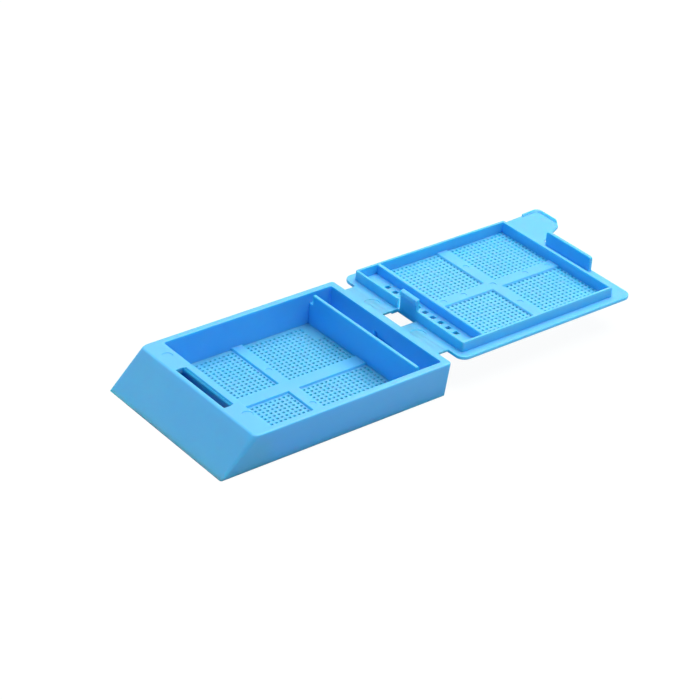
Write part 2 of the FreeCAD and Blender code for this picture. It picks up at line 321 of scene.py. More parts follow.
    def duplicate(self) -> "Shape":
        """Copies the shape with its own mesh."""
        self.activate()
        bpy.ops.object.duplicate(linked=False)
        return Shape(bpy.context.object)

    def discard(self) -> None:
        """Removes the object and its mesh."""
        mesh = self.obj.data
        bpy.data.objects.remove(self.obj)
        bpy.data.meshes.remove(mesh)

    def absorb(self, *others: "Shape") -> "Shape":
        """Makes other shapes part of this object without changing their skins."""
        bpy.ops.object.select_all(action="DESELECT")
        for other in others:
            other.obj.select_set(True)
        self.obj.select_set(True)
        bpy.context.view_layer.objects.active = self.obj
        bpy.ops.object.join()
        return self

    def tidy(self) -> "Shape":
        """Merges doubled vertices and dissolves those that lie on straight edges."""
        with self.editing("VERT"):
            bpy.ops.mesh.select_all(action="SELECT")
            bpy.ops.mesh.remove_doubles(threshold=0.0005 * MM)
            if self.sorted:
                self.sort_selected()
            bpy.ops.mesh.select_all(action="SELECT")
            bpy.ops.mesh.dissolve_limited(angle_limit=math.radians(0.5))
        return self

    def sort(self) -> "Shape":
        """Puts the mesh in order of place, and keeps it so after each later cut or join.

        The solver's own order differs from run to run, and the flat faces are divided by it.
        """
        self.sorted = True
        with self.editing("VERT"):
            bpy.ops.mesh.select_all(action="SELECT")
            self.sort_selected()
        return self

    def sort_selected(self) -> None:
        """Sorts what is selected in edit mode by its distance from the sorting place."""
        bpy.context.scene.cursor.location = SORTING_PLACE
        bpy.ops.mesh.sort_elements(type="CURSOR_DISTANCE", elements={"VERT", "EDGE", "FACE"})

    def ease(self, width: float, test: Test, segments: int = 2) -> "Shape":
        """Rounds the sharp edges that pass a test a little, as a mould does.

        Args:
            width: how far the rounding reaches from an edge.
            test: picks edges by their middle.
            segments: how many faces make the rounding up.

        Returns:
            The shape itself.
        """
        with self.editing("EDGE") as mesh:
            bpy.ops.mesh.edges_select_sharp(sharpness=math.radians(SHARP))
            for edge in mesh.edges:
                if not test((edge.verts[0].co + edge.verts[1].co) / 2 / MM):
                    edge.select_set(False)
            bpy.ops.mesh.bevel(offset=width * MM, segments=segments, affect="EDGES",
                               clamp_overlap=True)
        return self

    def shade(self) -> "Shape":
        """Shades the skin smoothly between its sharp edges."""
        self.tidy()
        self.activate()
        bpy.ops.object.shade_smooth_by_angle(angle=math.radians(SMOOTH))
        self.modify("WEIGHTED_NORMAL", keep_sharp=True, weight=50)
        return self

    def dress(self, finish: bpy.types.Material) -> "Shape":
        """Gives the whole shape one finish."""
        self.obj.data.materials.clear()
        self.obj.data.materials.append(finish)
        return self


def upright(direction: Vector) -> bool:
    """Whether an edge rises rather than lies level."""
    return abs(direction.z) > 0.3


# ---------------------------------------------------------------------------- finishes


@dataclass(frozen=True)
class SkyBluePlastic:
    """Satin sky-blue acetal, as it leaves the mould, with painted shade that darkens its colour in
    holes, hollows and corners.
    """

    colour: tuple[float, float, float] = (0.165, 0.515, 0.905)
    deep: tuple[float, float, float] = (0.145, 0.495, 0.895)
    # Painted shade: the darker colour painted into hollows, holes and corners, how far the occlusion
    # looks, and the occlusion values over which it fades in.
    painted_shade_colour: tuple[float, float, float] = (0.03, 0.29, 0.55)
    painted_shade_reach: float = 0.5
    painted_shade_span: Span = Span(0.1, 0.65)
    depth: float = 0.9
    depth_radius: tuple[float, float, float] = (0.09, 1.15, 1.1)
    ior: float = 1.46
    roughness: Span = Span(0.29, 0.41)
    flow_scale: float = 90.0
    flow_share: Span = Span(0.35, 0.7)
    grain_scale: float = 9000.0
    grain_strength: float = 0.08
    grain_depth: float = 0.00001

    def material(self) -> bpy.types.Material:
        """Builds the node material.

        Returns:
            The new material.
        """
        made = bpy.data.materials.new("sky_blue_plastic")
        made.use_nodes = True
        nodes, links = made.node_tree.nodes, made.node_tree.links
        shader = nodes["Principled BSDF"]
        shader.inputs["IOR"].default_value = self.ior
        shader.inputs["Subsurface Weight"].default_value = self.depth
        shader.inputs["Subsurface Radius"].default_value = self.depth_radius
        shader.inputs["Subsurface Scale"].default_value = MM
        place = nodes.new("ShaderNodeTexCoord").outputs["Object"]

        flow = nodes.new("ShaderNodeTexNoise")
        flow.inputs["Scale"].default_value = self.flow_scale
        flow.inputs["Detail"].default_value = 3.0
        links.new(place, flow.inputs["Vector"])
        tint = nodes.new("ShaderNodeValToRGB")
        tint.color_ramp.elements[0].position = self.flow_share.low
        tint.color_ramp.elements[1].position = self.flow_share.high
        tint.color_ramp.elements[0].color = (*self.deep, 1)
        tint.color_ramp.elements[1].color = (*self.colour, 1)
        links.new(flow.outputs["Fac"], tint.inputs["Fac"])

        # Painted shade: where ambient occlusion finds the surface hemmed in, the base colour is mixed
        # towards the darker shade colour.
        shade = nodes.new("ShaderNodeAmbientOcclusion")
        shade.only_local = True
        shade.inputs["Distance"].default_value = self.painted_shade_reach * MM
        depth = nodes.new("ShaderNodeMapRange")
        depth.inputs["From Min"].default_value = self.painted_shade_span.low
        depth.inputs["From Max"].default_value = self.painted_shade_span.high
        links.new(shade.outputs["AO"], depth.inputs["Value"])
        colour = nodes.new("ShaderNodeMix")
        colour.data_type = "RGBA"
        colour.inputs["A"].default_value = (*self.painted_shade_colour, 1)
        links.new(depth.outputs["Result"], colour.inputs["Factor"])
        links.new(tint.outputs["Color"], colour.inputs["B"])
        links.new(colour.outputs["Result"], shader.inputs["Base Color"])

        grain = nodes.new("ShaderNodeTexNoise")
        grain.inputs["Scale"].default_value = self.grain_scale
        grain.inputs["Detail"].default_value = 2.0
        links.new(place, grain.inputs["Vector"])
        sheen = nodes.new("ShaderNodeMapRange")
        sheen.inputs["To Min"].default_value = self.roughness.low
        sheen.inputs["To Max"].default_value = self.roughness.high
        links.new(grain.outputs["Fac"], sheen.inputs["Value"])
        links.new(sheen.outputs["Result"], shader.inputs["Roughness"])
        bump = nodes.new("ShaderNodeBump")
        bump.inputs["Strength"].default_value = self.grain_strength
        bump.inputs["Distance"].default_value = self.grain_depth
        links.new(grain.outputs["Fac"], bump.inputs["Height"])
        links.new(bump.outputs["Normal"], shader.inputs["Normal"])
        return made


# ---------------------------------------------------------------------------- mesh fields


@dataclass
class MeshField:
    """A field of fine square holes, thinner than the ribs around it."""

    name: str
    first: tuple[float, float]
    columns: int
    rows: int
    z: Span
    pitch: tuple[float, float]
    hole: float = 0.47
    hole_foot: float = 0.22
    hole_corner: float = 0.21
    border: float = 0.5
    plain: tuple[Span, Span] | None = None

    def build(self) -> Shape:
        """Makes one tile with a hole that narrows downwards, and lays out the field from it.

        Returns:
            The finished field.
        """
        across_x, across_y = self.pitch
        x0, y0 = self.first
        tile = Shape.block(self.name, Span(x0 - across_x / 2, x0 + across_x / 2),
                           Span(y0 - across_y / 2, y0 + across_y / 2), self.z)
        for up, size in ((1, self.hole), (-1, self.hole_foot)):
            with tile.editing("FACE") as mesh:
                tile.pick_faces(mesh, lambda m, n: n.z * up > 0.9)
                bpy.ops.mesh.inset(thickness=(min(self.pitch) - size) / 2 * MM)
                bpy.ops.mesh.bevel(offset=size * self.hole_corner * MM, segments=1, affect="VERTICES")
        with tile.editing("FACE") as mesh:
            for face in mesh.faces:
                face.select_set(len(face.verts) == 8)
            bpy.ops.mesh.bridge_edge_loops()
        with tile.editing("FACE") as mesh:
            tile.pick_faces(mesh, lambda m, n: abs(abs(m.x - x0) - across_x / 2) < FINE
                            or abs(abs(m.y - y0) - across_y / 2) < FINE)
            bpy.ops.mesh.delete(type="FACE")
        for count, step in ((self.columns, (across_x * MM, 0, 0)), (self.rows, (0, across_y * MM, 0))):
            tile.modify("ARRAY", count=count, use_relative_offset=False, use_constant_offset=True,
                        constant_offset_displace=step, use_merge_vertices=True,
                        merge_threshold=NEAR * MM)
        if self.plain:
            self.close_holes(tile, *self.plain)
        return self.close_border(tile)

    def close_holes(self, sheet: Shape, x: Span, y: Span) -> None:
        """Draws the holes in one area of the sheet shut."""
        (x0, y0), (across_x, across_y) = self.first, self.pitch
        for column, row in product(range(self.columns), range(self.rows)):
            middle = Vector((x0 + column * across_x, y0 + row * across_y, self.z.middle))
            if x.holds(middle.x) and y.holds(middle.y):
                reach = 0.4 * min(self.pitch)
                sheet.gather(lambda p: abs(p.x - middle.x) < reach and abs(p.y - middle.y) < reach,
                             (0.02, 0.02, 1), middle)

    def close_border(self, sheet: Shape) -> Shape:
        """Widens the sheet into the ribs around it and closes its sides."""
        (x0, y0), (across_x, across_y) = self.first, self.pitch
        x = Span(x0 - across_x / 2, x0 + across_x * (self.columns - 0.5))
        y = Span(y0 - across_y / 2, y0 + across_y * (self.rows - 0.5))
        near = 0.02
        sheet.move(lambda p: p.x < x.low + near, (-self.border, 0, 0))
        sheet.move(lambda p: p.x > x.high - near, (self.border, 0, 0))
        sheet.move(lambda p: p.y < y.low + near, (0, -self.border, 0))
        sheet.move(lambda p: p.y > y.high - near, (0, self.border, 0))
        with sheet.editing("EDGE"):
            bpy.ops.mesh.select_non_manifold()
            bpy.ops.mesh.bridge_edge_loops()
        return sheet


# ---------------------------------------------------------------------------- the moulding


def window_cutters(x: Span, y: Span, low: float, foot: float, top: float, slope: float,
                   walls: tuple[Span, Span]) -> list[Shape]:
    """The cutters for one mesh field's opening, sloping at the ribs and straight at the walls.

    Args:
        x: the opening's reach at the ribs' top.
        y: the same across.
        low: where the cutters start, below the part.
        foot: height of the mesh's surface.
        top: height of the ribs' top.
        slope: how far the sloping side leans out.
        walls: where the walls stand, along and across.

    Returns:
        The sloping cutter and the straight one.
    """
    shape = Shape.block("cutter", x.grown(-slope), y.grown(-slope), Span(low, foot))
    wide, deep = x.high - x.low, y.high - y.low
    spread = (wide / (wide - 2 * slope), deep / (deep - 2 * slope), 1)
    shape.extrude(lambda middle, normal: normal.z > 0.9, (0, 0, top - foot), spread)
    shape.extrude(lambda middle, normal: normal.z > 0.9, (0, 0, CLEAR / 2))
    reaches = []
    for span, wall in ((x.grown(-slope), walls[0]), (y.grown(-slope), walls[1])):
        near_low, near_high = span.low - wall.low < CLEAR, wall.high - span.high < CLEAR
        reaches.append(Span(wall.low if near_low else span.low, wall.high if near_high else span.high))
    straight = Shape.block("cutter", *reaches, Span(low, top + HAIR))
    return [shape, straight]


@dataclass
class Tray:
    """The tray: sloping label panel, ledge with the latch's slot, perforated floor and partition."""

    half_length: float = 20.45
    half_width: float = 14.25
    height: float = 5.6
    side_draft: float = 0.34
    rear_draft: float = 0.4
    label_run: float = 5.46
    rear_corner: float = 0.6
    front_corner: float = 0.95
    front_foot_corner: float = 0.25
    edge_round: float = 0.24
    cavity_x: Span = Span(-11.64, 19.24)
    cavity_y: Span = Span(-13.15, 13.15)
    cavity_draft: float = 0.06
    cavity_corner: float = 0.35
    floor: float = 0.64
    mesh_z: Span = Span(HAIR, 0.3)
    mesh_slope: float = 0.14
    cross_rib: Span = Span(0.68, 2.45)
    long_rib: float = 1.17
    field_x: Span = Span(-11.43, 14.9)
    field_y: float = 12.94
    plain: tuple[Span, Span] = (Span(13.17, 14.95), Span(8.57, 12.95))
    shell: float = 0.9
    slot_x: Span = Span(-14.44, -13.07)
    slot_half: float = 6.0
    slot_round: float = 0.4
    slot_corner: float = 0.2
    partition_x: float = 15.43
    partition_top: float = 5.55
    partition_thickness: Span = Span(0.55, 0.75)
    partition_half: float = 12.3
    partition_round: float = 0.16
    notch_floor: float = 3.92
    catch_y: float = 2.2
    catch_z: Span = Span(1.90, 3.15)
    catch_depth: float = 0.45
    strap_end: float = 20.85

    def outside(self) -> Shape:
        """The drafted block with its sloping front and rounded corners."""
        body = Shape.block("tray_moulding", across(self.half_length), across(self.half_width),
                           Span(0, self.height))
        middle = self.height / 2
        body.move(lambda p: p.z > middle and p.x < 0, (self.label_run, 0, 0))
        body.move(lambda p: p.z < middle and p.x > 0, (-self.rear_draft, 0, 0))
        for side in (-1, 1):
            body.move(lambda p: p.z < middle and p.y * side > 0, (0, -side * self.side_draft, 0))
        body.bevel(lambda m, d: upright(d) and m.x > 0, self.rear_corner, 6)
        body.bevel(lambda m, d: upright(d) and m.x < 0, self.front_corner, 6)
        keep = self.front_foot_corner / self.front_corner
        foot_y = self.half_width - self.side_draft
        for side in (-1, 1):
            body.gather(lambda p: p.z < NEAR and p.x < -self.half_length + 2 and p.y * side > 0,
                        (keep, keep, 1), (-self.half_length, side * foot_y, 0))
        top = self.height - FINE
        body.bevel(lambda m, d: m.z > top, self.edge_round, 4)
        return body

    def cavity(self) -> Shape:
        """The cutter for the space inside the walls."""
        cutter = Shape.block("cutter", self.cavity_x, self.cavity_y,
                             Span(self.floor, self.height + CLEAR))
        wide = self.cavity_x.high - self.cavity_x.low
        deep = self.cavity_y.high - self.cavity_y.low
        shrink = (1 - 2 * self.cavity_draft / wide, 1 - 2 * self.cavity_draft / deep, 1)
        cutter.gather(lambda p: p.z < self.floor + 0.1, shrink, (self.cavity_x.middle, 0, self.floor))
        return cutter.bevel(lambda m, d: upright(d), self.cavity_corner, 4)

    def label_hollow(self) -> Shape:
        """The cutter for the open space under the label panel and the ledge."""
        top = self.height - self.shell
        inset = self.shell * math.hypot(self.label_run, self.height) / self.height
        lean = self.label_run / self.height
        half = self.half_width - self.side_draft - self.shell
        front = -self.half_length + inset - CLEAR * lean
        cutter = Shape.block("cutter", Span(front, self.cavity_x.low - self.shell), across(half),
                             Span(-CLEAR, top))
        return cutter.move(lambda p: p.z > 0 and p.x < front + 0.1, ((top + CLEAR) * lean, 0, 0))

    def openings(self) -> list[Shape]:
        """The cutters for the slot, the catch pocket, the channel's vents and the mesh windows."""
        slot = Shape.block("cutter", self.slot_x, across(self.slot_half),
                           Span(self.height - self.shell - CLEAR, self.height + CLEAR))
        slot.bevel(lambda m, d: upright(d), self.slot_corner, 3)
        catch_x = Span(self.cavity_x.high - CLEAR, self.cavity_x.high + self.catch_depth)
        catch = Shape.block("cutter", catch_x, across(self.catch_y), self.catch_z)
        channel = (self.partition_x + self.cavity_x.high) / 2
        vents = VentRow(channel, Span(-CLEAR, self.floor + CLEAR)).build()
        cutters = [slot, self.slot_lead_in(), catch, vents]
        walls = (Span(self.cavity_x.low + self.cavity_draft,
                      self.partition_x - self.partition_thickness.high / 2),
                 self.cavity_y.grown(-self.cavity_draft))
        spans = (Span(self.field_x.low, self.cross_rib.low),
                 Span(self.cross_rib.high, self.field_x.high))
        far = Span(self.long_rib, self.field_y)
        for x, y in product(spans, (far, far.mirrored())):
            cutters.extend(window_cutters(x, y, -CLEAR, self.mesh_z.high + HAIR, self.floor,
                                          self.mesh_slope, walls))
        return cutters

    def slot_lead_in(self) -> Shape:
        """The cutter that rounds the ledge along the slot's rear edge."""
        rear, radius, steps = self.slot_x.high, self.slot_round, 6
        low = self.height - radius
        cutter = Shape.block("cutter", Span(rear - CLEAR, rear + radius), across(self.slot_half - 0.15),
                             Span(low, self.height + CLEAR))
        cutter.slice((rear, 0, 0), (1, 0, 0))
        for index in range(1, steps):
            turn = math.pi / 2 * index / steps
            x = rear + radius * (1 - math.cos(turn))
            cutter.slice((x, 0, 0), (1, 0, 0))
            cutter.move(lambda p: abs(p.x - x) < FINE and p.z < low + FINE,
                        (0, 0, radius * math.sin(turn)))
        return cutter.move(lambda p: p.x > rear + radius - FINE and p.z < self.height,
                           (0, 0, radius + HAIR))

    def partition(self) -> Shape:
        """The thin cross wall, stepped down at both ends."""
        top, foot = self.partition_thickness.low / 2, self.partition_thickness.high / 2
        reach = self.cavity_y.high + self.shell / 2
        wall = Shape.block("partition", Span(self.partition_x - foot, self.partition_x + foot),
                           across(reach), Span(self.floor / 2, self.partition_top))
        wall.gather(lambda p: p.z > self.floor, (top / foot, 1, 1), (self.partition_x, 0, 0))
        wall.bevel(lambda m, d: m.z > self.partition_top - NEAR and abs(d.y) > 0.9,
                   self.partition_round, 3)
        for side in (-1, 1):
            y = Span(self.partition_half, reach + CLEAR)
            notch = Shape.block("cutter", Span(self.partition_x - CLEAR, self.partition_x + CLEAR),
                                y if side > 0 else y.mirrored(), Span(self.notch_floor, self.height))
            wall.cut(notch)
        return wall

    def strap_root(self) -> Shape:
        """The tray's end of the hinge strap."""
        return HingeStrap().web("strap", Span(self.half_length - self.shell / 3, self.strap_end))

    def fields(self) -> list[Shape]:
        """The four perforated fields of the floor."""
        made = []
        rows, rows_y, pitch = 14, 1.80, (0.81, 0.794)
        for name, x0, columns in (("front", -10.40, 14), ("rear", 3.03, 15)):
            for side, low_y in (("far", rows_y), ("near", -rows_y - (rows - 1) * pitch[1])):
                made.append(MeshField(f"{name}_{side}", (x0, low_y), columns, rows, self.mesh_z, pitch,
                                      border=0.85, plain=self.plain).build())
        return made

    def build(self, finish: bpy.types.Material) -> Shape:
        """Makes the tray as one piece.

        Args:
            finish: the plastic.

        Returns:
            The finished tray.
        """
        body = self.outside()
        body.cut(self.cavity())
        body.ease(0.1, lambda p: p.z > self.height - NEAR and self.cavity_x.holds(p.x)
                  and self.cavity_y.holds(p.y))
        body.cut(self.label_hollow(), *self.openings())
        body.fuse(*self.fields(), self.partition(), self.strap_root())
        body.cut(*pin_marks((-13.2, 9.9, 0.9), (-12.6, -9.0, 0.9), *HingeStrap.marks),
                 *pin_marks((1.6, 5.0, 0.6), (1.6, -5.75, 0.6), top=self.floor))
        return body.shade().dress(finish)


@dataclass
class VentRow:
    """A row of square vents across the cassette."""

    x: float
    z: Span
    pitch: float = 1.79
    count: int = 10
    size: float = 0.85
    corner: float = 0.08

    def build(self) -> Shape:
        """The cutter for the whole row."""
        half = self.size / 2
        first = -self.pitch * (self.count - 1) / 2
        vent = Shape.block("cutter", Span(self.x - half, self.x + half),
                           Span(first - half, first + half), self.z)
        vent.bevel(lambda m, d: upright(d), self.corner, 2)
        return vent.modify("ARRAY", count=self.count, use_relative_offset=False,
                           use_constant_offset=True,
                           constant_offset_displace=(0, self.pitch * MM, 0))


@dataclass
class HingeStrap:
    """The thin strap that bends when the lid closes."""

    half_width: float = 11.05
    window_x: Span = Span(20.52, 23.55)
    window_half: float = 2.2
    z: Span = Span(5.25, 5.6)
    bend_x: Span = Span(20.80, 21.70)
    folds: int = 18
    marks: ClassVar[tuple[Point, ...]] = ((21.2, 5.56, 1.35), (21.3, -5.23, 1.35))

    def window(self) -> Shape:
        """The cutter for the opening under the hook's lip."""
        return Shape.block("cutter", self.window_x, across(self.window_half), self.z.grown(CLEAR))

    def web(self, name: str, x: Span) -> Shape:
        """A length of the strap with its share of the window cut out."""
        return Shape.block(name, x, across(self.half_width), self.z).cut(self.window())

    def build(self, finish: bpy.types.Material) -> Shape:
        """Makes the part of the strap that bends, finely divided along the bend.

        Args:
            finish: the plastic.

        Returns:
            The finished strap.
        """
        inner = self.z.grown(-HAIR)
        y = Span(self.window_half + HAIR, self.half_width - HAIR)
        strap = Shape.block("hinge_strap", self.bend_x, y, inner)
        strap.absorb(Shape.block("strap", self.bend_x, y.mirrored(), inner))
        strap.cut(*pin_marks(*self.marks))
        step = (self.bend_x.high - self.bend_x.low) / self.folds
        for index in range(1, self.folds):
            strap.slice((self.bend_x.low + step * index, 0, 0), (1, 0, 0))
        strap.activate()
        bpy.ops.object.shade_smooth_by_angle(angle=math.radians(SMOOTH))
        return strap.dress(finish)


def pin_marks(*places: Point, top: float = 5.6) -> list[Shape]:
    """Cutters for the shallow round marks that the mould's pins leave on the upper faces.

    Args:
        *places: along, across and radius of each mark.
        top: height of the face.

    Returns:
        One cutter for each mark.
    """
    depth, marks = 0.1, []
    for x, y, radius in places:
        mark = Shape.post("cutter", (x, y, top - depth), radius, 2 * depth, 32)
        narrow = 1 - depth / radius
        marks.append(mark.gather(lambda p: p.z < top, (narrow, narrow, 1), (x, y, top)))
    return marks


@dataclass
class Lid:
    """The lid: perforated plate, raised frame, vented channel, hook, latch and thumb tab."""

    plate_x: Span = Span(22.32, 57.02)
    half_width: float = 14.25
    z: Span = Span(5.0, 5.6)
    corner: float = 1.5
    tab_root_far: float = 54.7
    tab_root_near: float = 6.3
    tab_nose: float = 63.3
    tab_far_y: float = 14.71
    tab_near_y: float = 8.75
    nose_length: float = 4.5
    nose_slant: float = 0.75
    tip_round: float = 1.04
    side_round: float = 0.30
    bend_round: float = 0.34
    notch_round: float = 0.2
    lip_start: float = 59.7
    lip_height: float = 0.35
    rim_x: Span = Span(23.49, 54.05)
    rim_y: float = 12.83
    rim_top: float = 7.21
    rim_thickness: float = 0.45
    rim_front: float = 0.55
    rim_draft: float = 0.05
    rim_corner: float = 0.32
    rim_round: float = 0.11
    rim_gap: float = 2.5
    rib_x: Span = Span(27.57, 28.17)
    mesh_z: Span = Span(5.0 + HAIR, 5.34)
    mesh_slope: float = 0.2
    cross_rib: Span = Span(39.79, 41.65)
    long_rib: float = 1.0
    vent_x: float = 26.34
    hook_half: float = 1.9
    hook_x: Span = Span(23.55, 24.10)
    hook_top: float = 9.1
    hook_lip_x: float = 23.27
    hook_lead: float = 0.25
    hook_lip_height: float = 0.55
    hook_lip_lean: float = 0.16
    hook_lip_rise: float = 0.25
    latch_x: Span = Span(56.28, 56.83)
    latch_half: float = 5.1
    latch_top: float = 8.04
    latch_corner: float = 0.4
    strap_start: float = 21.65

    @staticmethod
    def at_tip(place: Vector) -> bool:
        """Whether a place is at the thumb tab's far corner."""
        return place.x > 62 and place.y > 14

    @staticmethod
    def at_side(place: Vector) -> bool:
        """Whether a place is at the near end of the thumb tab's nose."""
        return place.x > 62 and place.y < 9.5

    def plate(self) -> Shape:
        """The flat plate with the thumb tab at its far front corner."""
        plate = Shape.block("lid_moulding", self.plate_x, across(self.half_width), self.z)
        end = self.plate_x.high
        plate.slice((0, self.tab_root_near, 0), (0, 1, 0))
        plate.slice((self.tab_root_far, 0, 0), (1, 0, 0))
        plate.extrude(lambda m, n: n.x > 0.9 and m.y > self.tab_root_near, (self.tab_nose - end, 0, 0))
        nose, bend = self.tab_nose - 0.1, self.tab_far_y - self.nose_length
        spread = self.tab_far_y - self.half_width
        plate.move(lambda p: p.x > nose and p.y > self.half_width - 0.1, (0, spread, 0))
        plate.slice((0, bend, 0), (0, 1, 0))
        plate.move(lambda p: p.x > nose and p.y < self.tab_root_near + 0.1,
                   (-self.nose_slant, self.tab_near_y - self.tab_root_near, 0))
        share = (end - self.tab_root_far) / (self.tab_nose - self.tab_root_far)
        plate.move(lambda p: abs(p.x - end) < NEAR and p.y > self.half_width - NEAR,
                   (0, share * spread, 0))
        plate.tidy()
        for test, width in (
            (lambda m: m.x < 30 or (m.x > 56 and m.y < -10), self.corner),
            (self.at_tip, self.tip_round),
            (self.at_side, self.side_round),
            (lambda m: m.x > 62 and 9.5 < m.y < 12, self.bend_round),
            (lambda m: abs(m.x - end) < 0.1 and 5 < m.y < 8, self.notch_round),
        ):
            plate.bevel(lambda m, d, test=test: upright(d) and test(m), width, 6)
        plate.tidy().bevel(lambda m, d: m.z < self.z.low + FINE, 0.18, 2)
        return plate.ease(0.08, lambda p: p.z > self.z.high - FINE)

    def frame(self) -> Shape:
        """The raised frame round the mesh, broken where the hook stands."""
        root = self.z.middle
        rim = Shape.block("rim", self.rim_x, across(self.rim_y), Span(root, self.rim_top))
        wide, deep = self.rim_x.high - self.rim_x.low, 2 * self.rim_y
        lean = (1 - 2 * self.rim_draft / wide, 1 - 2 * self.rim_draft / deep, 1)
        rim.gather(lambda p: p.z > self.z.high, lean, (self.rim_x.middle, 0, 0))
        rim.bevel(lambda m, d: upright(d), self.rim_corner, 5)
        inner_x = Span(self.rim_x.low + self.rim_thickness, self.rim_x.high - self.rim_front)
        inner_y = across(self.rim_y - self.rim_thickness)
        inside = Shape.block("cutter", inner_x, inner_y, Span(root - CLEAR, self.rim_top + CLEAR))
        inside.bevel(lambda m, d: upright(d), 0.15, 3)
        gap_x = Span(self.rim_x.low - CLEAR, self.rim_x.low + 2 * self.rim_thickness)
        gap = Shape.block("cutter", gap_x, Span(0.02 - self.hook_half, self.rim_gap),
                          Span(root - CLEAR, self.rim_top + CLEAR))
        rim.cut(inside, gap)
        return rim.ease(self.rim_round, lambda p: p.z > self.rim_top - NEAR)

    def rib(self) -> Shape:
        """The rib beside the vents, from one side rim to the other."""
        reach = self.rim_y - self.rim_thickness / 2
        rib = Shape.block("rib", self.rib_x, across(reach), Span(self.z.middle, self.rim_top - HAIR))
        return rib.ease(self.rim_round, lambda p: p.z > self.rim_top - NEAR)

    def hook(self) -> Shape:
        """The upright hook, with its lip over the window."""
        hook = Shape.block("hook", self.hook_x, across(self.hook_half), Span(self.z.low, self.hook_top))
        reach, thick = self.hook_x.low - self.hook_lip_x, self.hook_x.high - self.hook_x.low
        lip_low = self.hook_top - self.hook_lead - self.hook_lip_height
        hook.slice((0, 0, lip_low - self.hook_lip_rise), (0, 0, 1))
        hook.extrude(lambda m, n: n.x < -0.9 and m.z > lip_low - 0.1, (-reach, 0, 0))
        front, top = self.hook_lip_x + NEAR, self.hook_top - NEAR
        hook.move(lambda p: p.x < front and p.z > top, (self.hook_lip_lean, 0, -self.hook_lead))
        hook.move(lambda p: p.x < front and p.z < lip_low, (0, 0, self.hook_lip_rise))
        hook.move(lambda p: front < p.x < self.hook_x.low + NEAR and p.z > top,
                  (0, 0, -self.hook_lead * thick / (thick + reach)))
        hook.bevel(lambda m, d: m.x > self.hook_x.high - NEAR and m.z > top, 0.1, 2)
        return hook.ease(0.06, lambda p: p.z > self.z.high)

    def latch(self) -> Shape:
        """The upright tongue at the lid's front edge, with its top corners taken off."""
        latch = Shape.block("latch", self.latch_x, across(self.latch_half),
                            Span(self.z.middle, self.latch_top))
        latch.bevel(lambda m, d: abs(d.x) > 0.9 and m.z > self.latch_top - NEAR, self.latch_corner, 2)
        return latch.ease(0.08, lambda p: p.z > self.z.high)

    def tab_lip(self) -> Shape:
        """The low raised edge round the thumb tab's outer sides."""
        start, bend = self.lip_start, self.tab_far_y - self.nose_length
        share = (start - self.tab_root_far) / (self.tab_nose - self.tab_root_far)
        narrower = (1 - share) * (self.tab_far_y - self.half_width)
        top = self.z.high + self.lip_height
        lip = Shape.block("lip", Span(start, self.tab_nose), Span(self.tab_near_y, self.tab_far_y),
                          Span(self.z.middle, top))
        lip.slice((0, bend, 0), (0, 1, 0))
        lip.move(lambda p: p.x < start + 0.1 and p.y > self.tab_far_y - 0.1, (0, -narrower, 0))
        lip.move(lambda p: p.x > self.tab_nose - 0.1 and p.y < self.tab_near_y + 0.1,
                 (-self.nose_slant, 0, 0))
        lip.bevel(lambda m, d: upright(d) and self.at_tip(m), self.tip_round, 6)
        lip.bevel(lambda m, d: upright(d) and self.at_side(m), self.side_round, 6)
        inside = lip.duplicate()
        inside.gather(lambda p: True, (1, 1, 3), (0, 0, self.z.high + 0.1))
        inside.move(lambda p: p.z < self.z.low, (-1.3, -1.3, 0))
        inside.move(lambda p: p.z > top, (0.2, 0.2, 0))
        inside.move(lambda p: p.x < 60, (-CLEAR, 0, 0))
        inside.move(lambda p: p.y < 9.5, (0, -CLEAR, 0))
        lip.cut(inside)
        return lip.ease(0.05, lambda p: p.z > top - 0.05)

    def windows(self) -> list[Shape]:
        """The cutters for the four mesh fields."""
        cutters = []
        inner = self.rim_thickness + self.rim_draft
        spans = (Span(self.rib_x.high + 0.15, self.cross_rib.low),
                 Span(self.cross_rib.high, self.rim_x.high - self.rim_front - self.rim_draft))
        walls = (Span(self.rib_x.high, self.rim_x.high - self.rim_front - HAIR),
                 across(self.rim_y - self.rim_thickness - HAIR))
        far = Span(self.long_rib, self.rim_y - inner)
        for x, y in product(spans, (far, far.mirrored())):
            cutters.extend(window_cutters(x, y, self.z.low - CLEAR, self.mesh_z.high + HAIR,
                                          self.z.high, self.mesh_slope, walls))
        return cutters

    def fields(self) -> list[Shape]:
        """The four perforated fields of the lid."""
        made = []
        rows, rows_y, pitch_y = 14, 1.41, 0.794
        for name, x0, pitch_x in (("hinge", 28.88, 0.8165), ("front", 42.45, 0.829)):
            for side, low_y in (("far", rows_y), ("near", -rows_y - (rows - 1) * pitch_y)):
                made.append(MeshField(f"{name}_{side}", (x0, low_y), rows, rows, self.mesh_z,
                                      (pitch_x, pitch_y), hole=0.46, hole_foot=0.18).build())
        return made

    def build(self, finish: bpy.types.Material) -> Shape:
        """Makes the lid as one piece.

        Args:
            finish: the plastic.

        Returns:
            The finished lid.
        """
        body = self.plate().sort()
        strap = HingeStrap()
        body.fuse(strap.web("strap", Span(self.strap_start, self.plate_x.low + self.corner)))
        body.cut(*self.windows(), VentRow(self.vent_x, self.z.grown(CLEAR)).build(), strap.window())
        body.fuse(self.frame(), self.rib(), self.hook(), self.latch(), self.tab_lip())
        body.cut(*pin_marks(*((x, 0.0, 0.6) for x in (30.7, 34.7, 47.4, 52.0)),
                            *((40.72, y, 0.6) for y in (6.5, 0.0, -6.3)), *HingeStrap.marks))
        body.fuse(*self.fields())
        return body.shade().dress(finish)


# ---------------------------------------------------------------------------- studio


